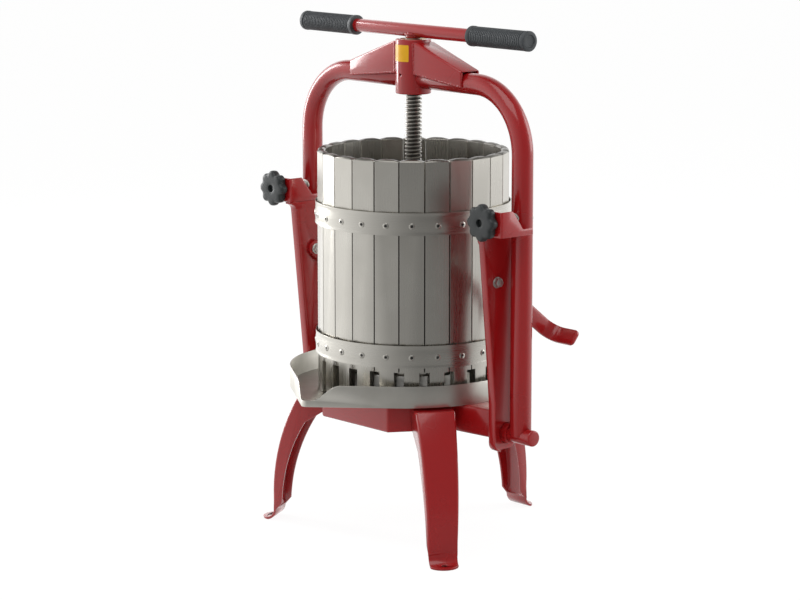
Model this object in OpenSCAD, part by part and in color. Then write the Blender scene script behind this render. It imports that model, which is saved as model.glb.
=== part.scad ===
// Screw fruit press with a tilting yoke, a slatted stainless basket and a juice pan.
// The origin is on the floor, under the axis of the spindle. The spout is at the front, -Y.

/* [Basket] */
// Distance from the basket's axis to the outer face of a slat
basket_r = 150; // [140:1:160]
// Number of slats round the basket
slat_count = 24; // [20:2:30]
// Turn of the basket in its pan
basket_turn = 2.7; // [0:0.1:15]
// Height of the crowned top of the slats above the floor
rim_z = 616; // [590:1:640]
// Drop of a slat's top corners below its middle
slat_crown = 3.5; // [1:0.5:6]
// Gap between two slats, where the juice runs out
slat_gap = 1.6; // [1:0.1:2.4]
// Sheet thickness of the slats
slat_sheet = 1.5; // [1:0.1:2.5]
// Depth of the slats' inward flanges
slat_flange = 12; // [8:1:15]
// Width of a drain opening at the foot of two slats
drain_w = 16; // [10:1:20]
// Height of the top of the drain openings above the floor
drain_z = 286; // [270:1:292]
// Height of the lower hoop's bottom edge above the floor
hoop_lower_z = 294; // [292:1:340]
// Height of the upper hoop's bottom edge above the floor
hoop_upper_z = 500; // [460:1:540]
// Height of a hoop
hoop_h = 35; // [25:1:45]
// Sheet thickness of the hoops
hoop_sheet = 2; // [1.2:0.1:3]
// How far a hoop's middle bulges outwards
hoop_bulge = 1.2; // [0.5:0.1:3]
// How far a hoop's two rolled edges flare outwards
hoop_lip = 1.8; // [0.5:0.1:3]

/* [Pan] */
// Outer radius of the pan's round part
pan_r = 185; // [183:0.5:188]
// Distance of the pan's middle from the basket's axis, towards the left
pan_left = 25; // [20:0.5:27]
// Distance of the pan's middle from the basket's axis, towards the rear
pan_back = 6; // [0:0.5:10]
// Height of the pan's wall
pan_h = 34; // [25:1:45]
// Sheet thickness of the pan
pan_sheet = 1.5; // [1:0.1:3]
// Distance of the spout's tip from the pan's middle
spout_reach = 233; // [225:1:245]
// Radius of the spout's tip
spout_r = 10; // [6:0.5:16]
// Turn of the spout from straight ahead, towards the right
spout_turn = 6; // [0:0.5:12]
// Drop of the pan's rim at the spout's tip
spout_drop = 24; // [10:1:26]

/* [Base] */
// Height of the base's top plate, where the pan stands
base_z = 233; // [215:1:260]
// Height of the base's folded skirt
base_skirt = 43; // [30:1:55]
// Sheet thickness of the base, the legs and the stop arms' plates
base_sheet = 4; // [3:0.5:6]
// Distance from the axis to the three faces that carry the legs
base_leg_r = 130; // [120:1:140]
// Distance from the axis to the three faces between the legs
base_side_r = 123; // [115:1:132]

/* [Legs] */
// Distance from the axis to the outer face of a leg at its widest
leg_r = 232; // [215:1:250]
// Height at which a leg's outer curve stands upright
leg_knee_z = 40; // [30:1:60]
// Radius of a leg's outer curve
leg_curve = 340; // [280:5:420]
// Width of a leg at its top
leg_top_w = 62; // [50:1:70]
// Width of a leg at its foot
leg_foot_w = 44; // [36:1:54]
// Distance from the axis to the tip of a foot
foot_tip_r = 256; // [246:1:275]
// Distance from the axis to the bolt hole in a foot
foot_hole_r = 243; // [238:1:250]
// Diameter of the bolt holes in the feet
foot_hole_d = 9; // [6:0.5:12]

/* [Uprights] */
// Distance from the middle to the inner face of an upright
upright_x = 216; // [205:1:222]
// Sheet thickness of the uprights
upright_sheet = 3; // [2:0.5:4]
// Distance of an upright's front edge in front of the pivot, at its top
upright_top_y = 62; // [52:1:66]
// Distance of an upright's front edge in front of the pivot, at its foot
upright_foot_y = 37; // [30:1:45]
// Distance of an upright's rear edge behind the pivot
upright_rear_y = 16; // [14:1:24]
// Width of an upright's front flange
upright_flange = 22; // [14:1:26]
// Width of an upright's rear flange, short of the yoke's tube
upright_rear_flange = 11; // [8:1:12]
// Radius of the hollow corner under a clamp head
head_fillet = 16; // [8:1:20]

/* [Clamp heads and knobs] */
// Height of the knobs' axes above the floor
knob_z = 533.6; // [500:0.1:560]
// Height of a clamp head
head_h = 39; // [32:1:50]
// Distance of a clamp head's front face in front of the pivot
head_front_y = 73; // [68:1:85]
// Diameter of a knob over its lobes
knob_d = 57; // [45:1:62]
// Thickness of a knob's lobed rim
knob_t = 15; // [10:1:20]
// Number of lobes on a knob
knob_lobes = 8; // [6:1:10]
// Diameter of the knobs' studs
stud_d = 10; // [8:1:12]
// Length of stud inside the yoke's tube with the knob tightened
stud_grip = 10; // [6:1:14]

/* [Stop arms] */
// Width of the stop arms' flat bar
arm_w = 26; // [20:1:32]
// Thickness of the stop arms' flat bar
arm_t = 5; // [3:0.5:6]
// Height of the bolt that holds a stop arm
arm_bolt_z = 433; // [410:1:450]
// Distance of that bolt in front of the pivot
arm_bolt_y = 24; // [18:1:30]
// Distance from the bolt to the hooked rear end of a stop arm
arm_len = 157; // [120:1:180]
// Slope of the stop arms below level
arm_slope = 38; // [25:1:50]
// Diameter of the stop arms' bolts
arm_bolt_d = 8; // [6:1:10]

/* [Yoke] */
// Height of the pivot pins' axis above the floor
pivot_z = 196; // [194:1:215]
// Distance from the middle to the axis of each yoke tube
tube_x = 248; // [246:1:258]
// Outer diameter of the yoke's tube
tube_d = 33; // [28:0.5:34]
// Wall of the yoke's tube
tube_wall = 3; // [2:0.5:5]
// Height of the arch's straight top, at the tube's axis
arch_z = 727; // [700:1:740]
// Radius of the arch's bends, at the tube's axis
bend_r = 100; // [70:1:120]
// Diameter of the pivot pins
pin_d = 25; // [18:1:28]
// Distance from the middle to the outer end of a pivot pin
pin_end_x = 278; // [272:1:290]
// Diameter of the boss that holds the spindle's nut
boss_d = 56; // [50:1:66]
// Height of the boss's lower end above the floor
boss_z = 702; // [690:1:706]
// Length of the boss
boss_h = 85; // [70:1:95]
// Height of the boss's grease hole above the floor
grease_z = 732; // [715:1:770]
// Diameter of the boss's grease hole
grease_d = 4; // [3:0.5:6]
// Distance from the middle to the outer end of a gusset
gusset_x = 130; // [90:1:140]
// Sheet thickness of the gussets
gusset_sheet = 3; // [2:0.5:4]

/* [Spindle and handle] */
// Diameter of the spindle over its thread
spindle_d = 27; // [22:0.5:30]
// Diameter of the spindle's plain end in the press plate
pintle_d = 18; // [14:1:20]
// Height of the handle's axis above the floor
handle_z = 800; // [799:1:815]
// Half the length of the handle
handle_half = 262; // [220:1:270]
// Diameter of the handle's tube
handle_d = 21; // [18:0.5:25]
// Wall of the handle's tube
handle_wall = 2.5; // [1.5:0.5:4]
// Length of a grip
grip_len = 128; // [100:1:140]
// Diameter of a grip
grip_d = 31.5; // [27:0.5:36]

/* [Press plate] */
// Radius of the press plate
plate_r = 132; // [120:1:134]
// Thickness of the press plate
plate_t = 4; // [3:0.5:8]
// Height of the press plate's underside above the floor
plate_z = 276; // [270:1:320]
// Height of the press plate's turned-up rim
plate_rim = 12; // [6:1:16]
// Diameter of the press plate's hub
hub_d = 56; // [44:1:70]
// Height of the hub above the press plate
hub_h = 24; // [16:1:30]

/* [Hidden] */

// Clearance between pieces that stand or lie on each other
seat = 0.3;
// Clearance between pieces that are welded or pressed together
joint_gap = 0.1;
// Clearance of a pin that turns in its bore
running = 0.05;
// Depth by which a cut passes its surface
cut = 1;
// Fineness of the large round shapes
$fn = 64;

red = [0.66, 0.05, 0.07];
stainless = [0.72, 0.71, 0.68];
steel = [0.55, 0.55, 0.56];
bronze = [0.70, 0.52, 0.28];
black = [0.13, 0.14, 0.15];

slat_angle = 360 / slat_count;
slat_half = basket_r * tan(slat_angle / 2) - slat_gap / 2;
slat_inner_r = basket_r - slat_flange;
slat_inner_half = slat_inner_r * tan(slat_angle / 2) - slat_gap / 2;
slat_foot_z = base_z + pan_sheet + seat;
slat_foot_half = basket_r * tan(slat_angle / 2) - drain_w / 2;
hoop_r = norm([basket_r, slat_half]) + joint_gap;

head_z = knob_z + 17.4 - head_h;
head_outer_x = 2 * tube_x - upright_x - upright_sheet;
washer_t = 1.2;
insert_d = 16;
stud_play = 0.6;

pin_r = pin_d / 2;
pin_inner_x = upright_x + 0.5;
bush_wall = 3.5;
bush_end_x = tube_x - tube_d / 2 - 1.5;

boss_top = boss_z + boss_h;
boss_bore_d = 40;
nut_d = boss_bore_d - 2 * joint_gap;
shoulder_z = plate_z + plate_t + hub_h + seat;
spindle_top = boss_top + 1;
foot_t = base_sheet;

function slat_name(i) = str("slat_", i < 10 ? "0" : "", i);

// Points of an arc about a centre, from one angle to another
function arc(centre, r, from, to, steps = 10) =
    [for (i = [0 : steps]) centre + r * [cos(from + (to - from) * i / steps), sin(from + (to - from) * i / steps)]];

// Meeting point of two edges, each given by the angle of its normal and its distance
function corner(a, b) =
    let (d = cos(a[0]) * sin(b[0]) - sin(a[0]) * cos(b[0]))
    [(a[1] * sin(b[0]) - b[1] * sin(a[0])) / d, (b[1] * cos(a[0]) - a[1] * cos(b[0])) / d];

// A flat outline in the Y-Z plane, thickened outwards along X from a distance
module side_plate(x, t) {
    translate([x, 0, 0]) rotate([90, 0, 90]) linear_extrude(t) children();
}

// Places its children on the right, or their mirror image on the left
module on_side(side) {
    if (side < 0) mirror([1, 0, 0]) children();
    else children();
}

// A cylinder along X from one distance to another
module rod_x(x0, x1, r) {
    translate([x0, 0, 0]) rotate([0, 90, 0]) cylinder(r = r, h = x1 - x0);
}

// A cylinder along Y from one place to another
module rod_y(y0, y1, r) {
    translate([0, y0, 0]) rotate([-90, 0, 0]) cylinder(r = r, h = y1 - y0);
}

// Point where the line from one point to another crosses an edge, given as for corner
function crossing(from, to, edge) =
    let (n = [cos(edge[0]), sin(edge[0])]) from + (edge[1] - from * n) / ((to - from) * n) * (to - from);

// Mirror images of points, left for right, in the reverse order
function mirrored(points) = [for (i = [len(points) - 1 : -1 : 0]) [-points[i][0], points[i][1]]];

// Plan of the base: three leg faces, three plain faces and two arms to the uprights
module base_plan(inset) {
    faces = [for (i = [0 : 5]) [60 * i - 90, (i % 2 == 0 ? base_side_r : base_leg_r) - inset]];
    root_y = base_leg_r * cos(60) - leg_top_w / 2 * sin(60) - 2 - inset;
    root_front = [base_leg_r - 20, -root_y];
    root_rear = [base_leg_r - 20, root_y];
    end_front = [upright_x - inset, inset - 26];
    end_rear = [upright_x - inset, upright_rear_y - inset];
    right = [corner(faces[0], faces[1]),
             crossing(root_front, end_front, faces[1]), end_front, end_rear, crossing(root_rear, end_rear, faces[2]),
             corner(faces[2], faces[3])];
    polygon(concat(right, mirrored(right)));
}

module base_tray() {
    color(red) difference() {
        translate([0, 0, base_z - base_skirt]) linear_extrude(base_skirt) base_plan(0);
        translate([0, 0, base_z - base_skirt - cut])
            linear_extrude(base_skirt - base_sheet + cut) base_plan(base_sheet);
    }
}

// Outer curve of a leg, from its top down to the bend above the foot
function leg_line(r, knee_r, knee_z, z_top, z_end, steps) =
    [for (i = [0 : steps]) let (z = z_top + (z_end - z_top) * i / steps)
        [knee_r - r + sqrt(r * r - (z - knee_z) * (z - knee_z)), z]];

leg_top_z = base_z - 4;
foot_bend_r = 14;
leg_back_r = leg_r - 15;
leg_back_curve = leg_curve - 62;
leg_skirt_z = base_z - base_skirt + 6;

// Side view of a leg with its flanges: a long curve, a hollow bend and the foot
module leg_outline() {
    z_bend = foot_t + foot_bend_r;
    bend = [leg_r + foot_bend_r - 1, z_bend];
    polygon(concat(
        leg_line(leg_curve, leg_r, leg_knee_z, leg_top_z, z_bend + 4, 14),
        arc(bend, foot_bend_r, 180, 270, 6),
        [[foot_tip_r, foot_t], [foot_tip_r, 0]],
        arc(bend, foot_bend_r + foot_t, 270, 180, 6),
        leg_line(leg_back_curve, leg_back_r, 20, 30, 168, 12),
        [[base_leg_r + joint_gap, leg_skirt_z], [base_leg_r + joint_gap, leg_top_z]]));
}

// The hollow behind a leg's face, open to the inside
module leg_hollow() {
    z_end = foot_t + foot_bend_r + 3;
    inner = leg_line(leg_curve - base_sheet, leg_r - base_sheet, leg_knee_z, leg_top_z - base_sheet, z_end, 14);
    polygon(concat(inner, [[leg_back_r - 10, z_end - 9], [base_leg_r - 10, z_end - 9], [base_leg_r - 10, leg_top_z - base_sheet]]));
}

// Front view of a leg, narrowing to its foot
module leg_front(inset) {
    function half(z) = leg_foot_w / 2 + (leg_top_w - leg_foot_w) / 2 * z / leg_top_z - inset;
    polygon([[-half(-cut), -cut], [half(-cut), -cut], [half(base_z), base_z], [-half(base_z), base_z]]);
}

// One pressed leg, open to the inside, with a drilled foot
module leg(angle) {
    tip_r = leg_foot_w / 2 + 2;
    color(red) rotate([0, 0, angle - 90]) difference() {
        intersection() {
            rotate([90, 0, 0]) linear_extrude(leg_top_w + 2, center = true) leg_outline();
            rotate([90, 0, 90]) linear_extrude(foot_tip_r + cut) leg_front(0);
            translate([0, 0, -cut]) linear_extrude(base_z) hull() {
                translate([0, -leg_top_w / 2 - cut]) square([leg_r - 10, leg_top_w + 2 * cut]);
                translate([foot_tip_r - tip_r, 0]) circle(r = tip_r);
            }
        }
        intersection() {
            rotate([90, 0, 0]) linear_extrude(leg_top_w, center = true) leg_hollow();
            rotate([90, 0, 90]) linear_extrude(foot_tip_r) leg_front(base_sheet);
        }
        translate([foot_hole_r, 0, -cut]) cylinder(d = foot_hole_d, h = foot_t + 2 * cut);
    }
}

module leg_right() { leg(60); }
module leg_left() { leg(-60); }
module leg_rear() { leg(180); }

upright_foot_z = pivot_z - 25;
upright_foot_round = 14;
upright_waist_z = base_z + 13;
shelf_r = min(head_fillet, head_front_y - upright_top_y);
shelf_z = head_z - upright_sheet;

// The front edge of an upright, from its foot to the shelf under the clamp head
function upright_edge(inset) = concat(
    arc([-upright_foot_y + upright_foot_round, upright_foot_z + upright_foot_round],
        upright_foot_round - inset, 270, 180, 5),
    [[-upright_foot_y + inset, upright_waist_z]],
    arc([-upright_top_y - shelf_r, shelf_z - shelf_r], shelf_r + inset, 0, 90, 6),
    [[-head_front_y, shelf_z + inset]]);

// An upright's flat web
module upright_outline() {
    polygon(concat(
        upright_edge(0),
        [[-head_front_y, head_z], [upright_rear_y, head_z], [upright_rear_y, upright_foot_z + upright_foot_round]],
        arc([upright_rear_y - upright_foot_round, upright_foot_z + upright_foot_round],
            upright_foot_round, 0, -90, 5)));
}

// One upright: a tapered channel with its web towards the basket
module upright(side) {
    outer = upright_edge(0);
    inner = upright_edge(upright_sheet);
    color(red) on_side(side) difference() {
        union() {
            side_plate(upright_x, upright_sheet) upright_outline();
            side_plate(upright_x, upright_flange)
                polygon(concat(outer, [for (i = [len(inner) - 1 : -1 : 0]) inner[i]]));
            translate([upright_x, upright_rear_y - upright_sheet, pivot_z + pin_r + bush_wall + 4])
                cube([upright_rear_flange, upright_sheet, head_z - pivot_z - pin_r - bush_wall - 4]);
        }
        translate([0, 0, pivot_z])
            rod_x(upright_x - cut, upright_x + upright_sheet + cut, pin_r + bush_wall + running);
        translate([0, -arm_bolt_y, arm_bolt_z])
            rod_x(upright_x - cut, upright_x + upright_sheet + cut, arm_bolt_d / 2 + 0.2);
    }
}

module upright_left() { upright(-1); }
module upright_right() { upright(1); }

// Side of a clamp head: high at the knob, with a low band beside the yoke's tube
module head_side_outline(z0) {
    top = head_z + head_h;
    polygon([[-head_front_y, z0], [-head_front_y, top], [-head_front_y + 24, top],
             [-28, head_z + 10], [3, head_z + 10], [3, z0]]);
}

// One clamp head: a folded box, open to the rear, in front of the yoke's tube
module clamp_head(side) {
    t = upright_sheet;
    z0 = head_z + joint_gap;
    color(red) on_side(side) difference() {
        union() {
            side_plate(upright_x, t) head_side_outline(z0);
            side_plate(head_outer_x, t) head_side_outline(z0);
            translate([upright_x, -head_front_y, z0])
                cube([head_outer_x + t - upright_x, t, head_h - joint_gap]);
            translate([upright_x, -head_front_y, z0])
                cube([head_outer_x + t - upright_x, head_front_y - tube_d / 2 - 2, t]);
        }
        translate([tube_x, 0, knob_z]) rod_y(-head_front_y - cut, -head_front_y + t + cut, stud_d / 2 + 0.5);
    }
}

module clamp_head_left() { clamp_head(-1); }
module clamp_head_right() { clamp_head(1); }

// Bearing bush of a pivot pin, welded into the upright's web
module pivot_bush(side) {
    color(steel) on_side(side) translate([0, 0, pivot_z]) difference() {
        rod_x(upright_x, bush_end_x, pin_r + bush_wall);
        rod_x(upright_x - cut, bush_end_x + cut, pin_r + running);
    }
}

module pivot_bush_left() { pivot_bush(-1); }
module pivot_bush_right() { pivot_bush(1); }

// One stop arm: a flat bar that runs back inside the yoke's tube and hooks out behind it
module stop_arm(side) {
    bend = 8;
    hook_x = tube_x + tube_d / 2 + 3;
    inner_x = upright_x - joint_gap - arm_t;
    color(red) on_side(side) translate([0, -arm_bolt_y, arm_bolt_z]) rotate([-arm_slope, 0, 0])
        difference() {
            intersection() {
                translate([0, 0, -arm_w / 2]) linear_extrude(arm_w) polygon(concat(
                    [[inner_x + arm_t, -arm_w / 2], [inner_x, -arm_w / 2]],
                    arc([inner_x + bend, arm_len - bend], bend, 180, 90, 6),
                    [[hook_x, arm_len], [hook_x, arm_len - arm_t]],
                    arc([inner_x + bend, arm_len - bend], bend - arm_t, 90, 180, 6)));
                union() {
                    rod_x(inner_x - cut, inner_x + arm_t + cut, arm_w / 2);
                    translate([inner_x - cut, 0, -arm_w / 2]) cube([hook_x, arm_len + cut, arm_w]);
                }
            }
            rod_x(inner_x - cut, inner_x + arm_t + cut, arm_bolt_d / 2 + 0.2);
        }
}

module stop_arm_left() { stop_arm(-1); }
module stop_arm_right() { stop_arm(1); }

// The two bolts through the stop arms and the uprights, with their nuts
module stop_arm_bolts() {
    head_r = arm_bolt_d * 0.93;
    head_t = arm_bolt_d * 0.7;
    inner_x = upright_x - joint_gap - arm_t - joint_gap;
    outer_x = upright_x + upright_sheet + joint_gap;
    color(steel) for (side = [-1, 1]) on_side(side) translate([0, -arm_bolt_y, arm_bolt_z]) {
        rod_x(inner_x - cut, outer_x + cut, arm_bolt_d / 2);
        translate([inner_x - head_t, 0, 0]) rotate([0, 90, 0]) cylinder(r = head_r, h = head_t, $fn = 6);
        translate([outer_x, 0, 0]) rotate([0, 90, 0]) cylinder(r = head_r, h = head_t, $fn = 6);
    }
}

// The bent tube of the yoke, as a solid bar of one radius
module arch_bar(r, foot) {
    for (side = [-1, 1]) on_side(side) {
        translate([tube_x, 0, foot]) cylinder(r = r, h = arch_z - bend_r - foot);
        translate([tube_x - bend_r, 0, arch_z - bend_r]) rotate([90, 0, 0])
            rotate_extrude(angle = 90) translate([bend_r, 0]) circle(r = r);
    }
    translate([0, 0, arch_z]) rod_x(bend_r - tube_x, tube_x - bend_r, r);
}

// The yoke's tube, coped round the pivot pins and cut away for the boss and the inserts
module yoke_arch() {
    color(red) difference() {
        arch_bar(tube_d / 2, pivot_z);
        arch_bar(tube_d / 2 - tube_wall, pivot_z - cut);
        translate([0, 0, pivot_z]) rod_x(-pin_end_x, pin_end_x, pin_r + joint_gap);
        translate([0, 0, boss_z - cut]) cylinder(d = boss_d + 2 * joint_gap, h = boss_h + 2 * cut);
        for (side = [-1, 1]) translate([side * tube_x, 0, knob_z])
            rod_y(-tube_d, tube_d, insert_d / 2 + joint_gap);
    }
}

// Outline of a gusset: high at the boss and down to the tube at its outer end
module gusset_outline(inset) {
    tube_top = arch_z + tube_d / 2;
    low = arch_z - tube_d / 2 + 3 - inset * 4;
    polygon([[0, boss_top - 4 - inset], [boss_d / 2, boss_top - 4 - inset],
             [gusset_x + inset, tube_top + gusset_sheet + joint_gap - inset],
             [gusset_x + inset, arch_z], [boss_d / 2 + 8, low], [0, low]]);
}

// The two folded gussets that brace the boss on the arch
module yoke_gussets() {
    inner_half = tube_d / 2 + 2 * joint_gap;
    color(red) for (side = [-1, 1]) on_side(side) difference() {
        rotate([90, 0, 0]) linear_extrude(2 * (inner_half + gusset_sheet), center = true) gusset_outline(0);
        rotate([90, 0, 0]) linear_extrude(2 * inner_half, center = true) gusset_outline(gusset_sheet);
        translate([0, 0, boss_z - cut]) cylinder(d = boss_d + 2 * joint_gap, h = boss_h + 2 * cut);
        translate([-boss_d, -boss_d, boss_z - cut]) cube([boss_d, 2 * boss_d, boss_h + 2 * cut]);
    }
}

// The boss in the middle of the arch, bored for the spindle's nut, with a grease hole at the front
module yoke_boss() {
    color(red) translate([0, 0, boss_z]) difference() {
        cylinder(d = boss_d, h = boss_h);
        translate([0, 0, -cut]) cylinder(d = boss_bore_d, h = boss_h + 2 * cut);
        translate([0, 0, grease_z - boss_z]) rod_y(-boss_d, 0, grease_d / 2);
    }
}

// The bronze nut that the spindle turns in; its thread is left plain
module spindle_nut() {
    color(bronze) translate([0, 0, boss_z]) difference() {
        cylinder(d = nut_d, h = boss_h);
        translate([0, 0, -cut]) cylinder(r = spindle_d / 2 + running, h = boss_h + 2 * cut);
    }
}

// A pivot pin, through the upright's bush and under the yoke's tube
module pivot_pin(side) {
    color(red) on_side(side) translate([0, 0, pivot_z]) rod_x(pin_inner_x, pin_end_x, pin_r);
}

module pivot_pin_left() { pivot_pin(-1); }
module pivot_pin_right() { pivot_pin(1); }

// The two bored inserts across the yoke's tube, where the knobs' studs screw in
module clamp_inserts() {
    color(steel) for (side = [-1, 1]) translate([side * tube_x, 0, knob_z]) difference() {
        rod_y(-tube_d / 2, tube_d / 2, insert_d / 2);
        rod_y(-tube_d / 2 - cut, tube_d / 2 + cut, stud_d / 2 + stud_play);
    }
}

// The spindle, with its shoulder, the plain end that turns in the plate and its nut
module spindle() {
    end_z = plate_z - seat - 14;
    color(steel) {
        translate([0, 0, shoulder_z]) cylinder(d = spindle_d, h = spindle_top - shoulder_z);
        translate([0, 0, end_z]) cylinder(d = pintle_d, h = shoulder_z - end_z);
        translate([0, 0, end_z + 2]) cylinder(r = pintle_d * 0.83, h = 12, $fn = 6);
    }
}

// The short neck between the spindle and the handle, coped to the handle's tube
module handle_hub() {
    color(red) difference() {
        translate([0, 0, spindle_top + joint_gap]) cylinder(d = 24, h = handle_z - spindle_top);
        translate([0, 0, handle_z]) rod_x(-boss_d, boss_d, handle_d / 2 + joint_gap);
    }
}

module handle_bar() {
    half = handle_half - 4;
    color(red) translate([0, 0, handle_z]) difference() {
        rod_x(-half, half, handle_d / 2);
        rod_x(-half - cut, half + cut, handle_d / 2 - handle_wall);
    }
}

// One rubber grip: a ribbed sleeve with a collar at its inner end and a closed outer end
module grip(side) {
    wall_r = grip_d / 2;
    groove = 1;
    ribs = 22;
    first = 12;
    step = (grip_len - first - 8) / ribs;
    color(black) on_side(side) translate([handle_half - grip_len, 0, handle_z]) difference() {
        rotate([0, 90, 0]) rotate_extrude() polygon(concat(
            [[0, 0], [wall_r, 0], [wall_r, 8], [wall_r - 1.5, 10]],
            [for (i = [0 : ribs - 1], s = [0 : 3])
                [wall_r - (s == 1 || s == 2 ? groove : 0), first + step * (i + s * 0.25)]],
            [[wall_r, grip_len - 4], [wall_r - 3, grip_len], [0, grip_len]]));
        rod_x(-cut, grip_len - 4 + joint_gap, handle_d / 2 + joint_gap);
    }
}

module grip_left() { grip(-1); }
module grip_right() { grip(1); }

// The press plate: a disc with a turned-up rim and a hub, bored for the spindle's end
module press_plate() {
    hub_r = hub_d / 2;
    bore_r = pintle_d / 2 + running;
    color(stainless) translate([0, 0, plate_z]) rotate_extrude()
        polygon(concat(
            [[bore_r, 0]],
            arc([plate_r - 5, 5], 5, -90, 0, 5),
            [[plate_r, plate_rim], [plate_r - plate_t, plate_rim]],
            arc([plate_r - plate_t - 2, plate_t + 2], 2, 0, -90, 3),
            [[hub_r + 6, plate_t], [hub_r, plate_t + 6], [hub_r, plate_t + hub_h], [bore_r, plate_t + hub_h]]));
}

// One star knob, seen from the front: hollows between the lobes and a recess in the middle
module knob(side) {
    back_y = -head_front_y - joint_gap - washer_t - joint_gap;
    face_y = back_y - knob_t;
    hollow_r = knob_d * 0.11;
    color(black) translate([side * tube_x, 0, knob_z]) difference() {
        union() {
            rod_y(face_y + 2, back_y - 3, knob_d / 2);
            rod_y(face_y, back_y, knob_d / 2 - 4);
        }
        for (i = [0 : knob_lobes - 1])
            rotate([0, (i + 0.5) * 360 / knob_lobes, 0]) translate([knob_d / 2 + hollow_r * 0.42, 0, 0])
                rod_y(face_y - cut, back_y + cut, hollow_r);
        rod_y(face_y - cut, face_y + 3, 6.5);
        rod_y(face_y + 4, back_y + cut, stud_d / 2 + joint_gap);
    }
}

module knob_left() { knob(-1); }
module knob_right() { knob(1); }

// A knob's stud, through the clamp head and into the yoke's insert
module knob_stud(side) {
    back_y = -head_front_y - 2 * joint_gap - washer_t;
    color(steel) translate([side * tube_x, 0, knob_z])
        rod_y(back_y - knob_t + 4 + joint_gap, -tube_d / 2 + stud_grip, stud_d / 2);
}

module knob_stud_left() { knob_stud(-1); }
module knob_stud_right() { knob_stud(1); }

// The washer between a knob and its clamp head
module knob_washer(side) {
    color(steel) translate([side * tube_x, 0, knob_z]) difference() {
        rod_y(-head_front_y - joint_gap - washer_t, -head_front_y - joint_gap, stud_d);
        rod_y(-head_front_y - 2 * washer_t, -head_front_y + cut, stud_d / 2 + running);
    }
}

module knob_washer_left() { knob_washer(-1); }
module knob_washer_right() { knob_washer(1); }

// Plan of the pan: a circle whose wall runs straight on both sides to a narrow spout
module pan_plan(inset) {
    tip_y = spout_reach - spout_r;
    lean = acos((pan_r - spout_r) / tip_y); // how far the wall's straight sides are turned from the spout's axis
    polygon(concat(
        arc([0, 0], pan_r - inset, lean - 90, 270 - lean, 56),
        arc([0, -tip_y], spout_r - inset, 270 - lean, 270 + lean, 8)));
}

// The juice pan, off the basket's axis: its rim dips in a long curve to the spout's tip
module juice_pan() {
    rim_y = spout_reach - 3.4 * spout_r;
    dip = 2.7 * spout_r;
    color(stainless) translate([-pan_left, pan_back, base_z]) rotate([0, 0, spout_turn]) difference() {
        linear_extrude(pan_h) pan_plan(0);
        translate([0, 0, pan_sheet]) linear_extrude(pan_h) pan_plan(pan_sheet);
        side_plate(-pan_r, 2 * pan_r) polygon(concat(
            [[-rim_y, pan_h + cut]],
            [for (i = [0 : 10]) [-rim_y - dip * i / 10, pan_h - spout_drop * (1 - cos(18 * i)) / 2]],
            [[-spout_reach - cut, pan_h - spout_drop], [-spout_reach - cut, pan_h + cut]]));
    }
}

// A slat's height over half its width or depth: highest in the middle, as an arc
function crown_line(half, steps) =
    let (r = (half * half + slat_crown * slat_crown) / (2 * slat_crown), a = asin(half / r))
    arc([0, rim_z - r], r, 90 - a, 90 + a, steps);

// Front view of a slat: a crowned top, and a foot narrowed by the drain openings
module slat_front() {
    polygon(concat(
        [[-slat_foot_half, slat_foot_z], [slat_foot_half, slat_foot_z], [slat_foot_half, drain_z], [slat_half, drain_z]],
        crown_line(slat_half, 8),
        [[-slat_half, drain_z], [-slat_foot_half, drain_z]]));
}

// Plan of a slat: its sides lie along the basket's radii
module slat_plan(inset) {
    slope = (slat_half - slat_inner_half) / slat_flange;
    outer = slat_half - inset - inset * slope;
    inner = slat_inner_half - inset + inset * slope;
    polygon([[-outer, -basket_r + inset], [outer, -basket_r + inset],
             [inner, -slat_inner_r - inset], [-inner, -slat_inner_r - inset]]);
}

// Front view of the hollow in a slat, open at the foot
module slat_hollow() {
    foot = slat_foot_half - slat_sheet;
    side = slat_half - slat_sheet / 2;
    low = drain_z + slat_sheet;
    top = rim_z - slat_crown - slat_sheet;
    polygon([[-foot, slat_foot_z - cut], [foot, slat_foot_z - cut], [foot, low], [side, low],
             [side, top], [-side, top], [-side, low], [-foot, low]]);
}

// One slat: a closed box of thin sheet with a cushioned top
module slat(i) {
    mid_r = (basket_r + slat_inner_r) / 2;
    color(stainless) rotate([0, 0, i * slat_angle + 90 + basket_turn]) difference() {
        intersection() {
            linear_extrude(rim_z + cut) slat_plan(0);
            rotate([90, 0, 0]) linear_extrude(basket_r + cut) slat_front();
            side_plate(-slat_half - cut, 2 * (slat_half + cut)) translate([-mid_r, 0])
                polygon(concat(crown_line(slat_flange / 2, 6), [[-slat_flange / 2, 0], [slat_flange / 2, 0]]));
        }
        intersection() {
            linear_extrude(rim_z) slat_plan(slat_sheet);
            rotate([90, 0, 0]) linear_extrude(basket_r + cut) slat_hollow();
        }
    }
}

// A hoop round the slats: a band with a bulged middle and two flared edges
module hoop(z) {
    steps = 10;
    function swell(t) = hoop_bulge * sin(180 * t) + hoop_lip * pow(abs(2 * t - 1), 6);
    line = [for (i = [0 : steps]) [hoop_r + swell(i / steps), hoop_h * i / steps]];
    color(stainless) translate([0, 0, z]) rotate_extrude() polygon(concat(
        [for (p = line) p + [hoop_sheet, 0]],
        [for (i = [steps : -1 : 0]) line[i]]));
}

module hoop_upper() { hoop(hoop_upper_z); }
module hoop_lower() { hoop(hoop_lower_z); }

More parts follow.
